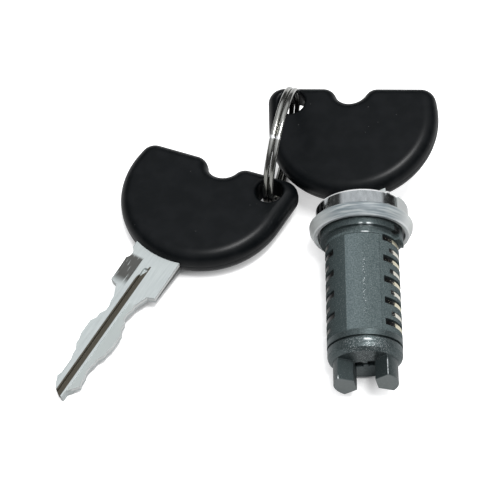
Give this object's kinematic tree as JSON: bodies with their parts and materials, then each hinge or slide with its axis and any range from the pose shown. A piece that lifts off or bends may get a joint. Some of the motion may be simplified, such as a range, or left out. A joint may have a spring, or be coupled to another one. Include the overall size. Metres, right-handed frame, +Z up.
{
  "type": "ignition lock",
  "caption": "Scooter ignition lock plug with pressed face cap, rubber seal ring, wafers and springs, a key in its keyway and a spare key on a split ring.",
  "frame": {"origin": "bottom centre of the set's bounding box, on the surface that it lies on", "axes": "+X to the right of the set as pictured, from the spare key's tip to the lock, +Y from the lock's tail prongs to its key, tilted 6.3 degrees off the lock's axis, +Z up"},
  "size_m": [0.0806, 0.0731, 0.026],
  "materials": {
    "plug_metal": "satin die-cast zinc, passivated dark",
    "cap_chrome": "bright nickel-chrome plate on pressed steel",
    "seal_rubber": "pale translucent silicone rubber",
    "wafer_brass": "stamped brass, satin",
    "wafer_nickel": "stamped and nickel plated, satin",
    "spring_steel": "drawn spring wire",
    "key_metal": "nickel-plated, satin with milled grooves",
    "bow_plastic": "black moulded plastic, fine satin grain",
    "ring_metal": "nickel-plated wire, bright"
  },
  "bodies": {
    "plug": {"plug": "plug_metal", "face_cap": "cap_chrome", "seal_ring": "seal_rubber", "wafer_spring_1": "spring_steel", "wafer_spring_2": "spring_steel", "wafer_spring_3": "spring_steel", "wafer_spring_4": "spring_steel", "wafer_spring_5": "spring_steel", "wafer_spring_6": "spring_steel", "wafer_spring_7": "spring_steel", "wafer_spring_8": "spring_steel", "wafer_spring_9": "spring_steel"},
    "wafer_1": {"wafer_1": "wafer_brass"},
    "wafer_2": {"wafer_2": "wafer_nickel"},
    "wafer_3": {"wafer_3": "wafer_brass"},
    "wafer_4": {"wafer_4": "wafer_nickel"},
    "wafer_5": {"wafer_5": "wafer_brass"},
    "wafer_6": {"wafer_6": "wafer_nickel"},
    "wafer_7": {"wafer_7": "wafer_brass"},
    "wafer_8": {"wafer_8": "wafer_nickel"},
    "wafer_9": {"wafer_9": "wafer_brass"},
    "key": {"key_blade": "key_metal", "key_bow": "bow_plastic"},
    "ring": {"split_ring": "ring_metal"},
    "spare": {"spare_key_blade": "key_metal", "spare_key_bow": "bow_plastic"}
  },
  "joints": [
    {"name": "key_draw", "type": "slide", "parent": "plug", "child": "key", "axis": [0, 0.994, 0.109], "range_m": [0, 0.036]},
    {"name": "wafer_1_slide", "type": "slide", "parent": "plug", "child": "wafer_1", "axis": [0.9763, -0.0236, 0.2152], "range_m": [0, 0.000901]},
    {"name": "wafer_2_slide", "type": "slide", "parent": "plug", "child": "wafer_2", "axis": [-0.9763, 0.0236, -0.2152], "range_m": [0, 0.000901]},
    {"name": "wafer_3_slide", "type": "slide", "parent": "plug", "child": "wafer_3", "axis": [0.9763, -0.0236, 0.2152], "range_m": [0, 0.000901]},
    {"name": "wafer_4_slide", "type": "slide", "parent": "plug", "child": "wafer_4", "axis": [-0.9763, 0.0236, -0.2152], "range_m": [0, 0.000901]},
    {"name": "wafer_5_slide", "type": "slide", "parent": "plug", "child": "wafer_5", "axis": [0.9763, -0.0236, 0.2152], "range_m": [0, 0.000901]},
    {"name": "wafer_6_slide", "type": "slide", "parent": "plug", "child": "wafer_6", "axis": [-0.9763, 0.0236, -0.2152], "range_m": [0, 0.000901]},
    {"name": "wafer_7_slide", "type": "slide", "parent": "plug", "child": "wafer_7", "axis": [0.9763, -0.0236, 0.2152], "range_m": [0, 0.000901]},
    {"name": "wafer_8_slide", "type": "slide", "parent": "plug", "child": "wafer_8", "axis": [-0.9763, 0.0236, -0.2152], "range_m": [0, 0.000901]},
    {"name": "wafer_9_slide", "type": "slide", "parent": "plug", "child": "wafer_9", "axis": [0.9763, -0.0236, 0.2152], "range_m": [0, 0.000901]},
    {"name": "ring_swing", "type": "hinge", "parent": "key", "child": "ring", "pos_m": [0.00896, 0.03157, 0.01133], "axis": [-0.2164, -0.1064, 0.9705], "range_deg": [-130, 1]},
    {"name": "spare_swing", "type": "hinge", "parent": "ring", "child": "spare", "pos_m": [0.00369, 0.01046, 0.0064], "axis": [-0.0936, -0.0218, 0.9954], "range_deg": [-40, 5]}
  ],
  "couplings": [
    {"joint": "wafer_1_slide", "follows": "key_draw", "ratio": 0.025},
    {"joint": "wafer_2_slide", "follows": "key_draw", "ratio": 0.025},
    {"joint": "wafer_3_slide", "follows": "key_draw", "ratio": 0.025},
    {"joint": "wafer_4_slide", "follows": "key_draw", "ratio": 0.025},
    {"joint": "wafer_5_slide", "follows": "key_draw", "ratio": 0.025},
    {"joint": "wafer_6_slide", "follows": "key_draw", "ratio": 0.025},
    {"joint": "wafer_7_slide", "follows": "key_draw", "ratio": 0.025},
    {"joint": "wafer_8_slide", "follows": "key_draw", "ratio": 0.025},
    {"joint": "wafer_9_slide", "follows": "key_draw", "ratio": 0.025}
  ]
}
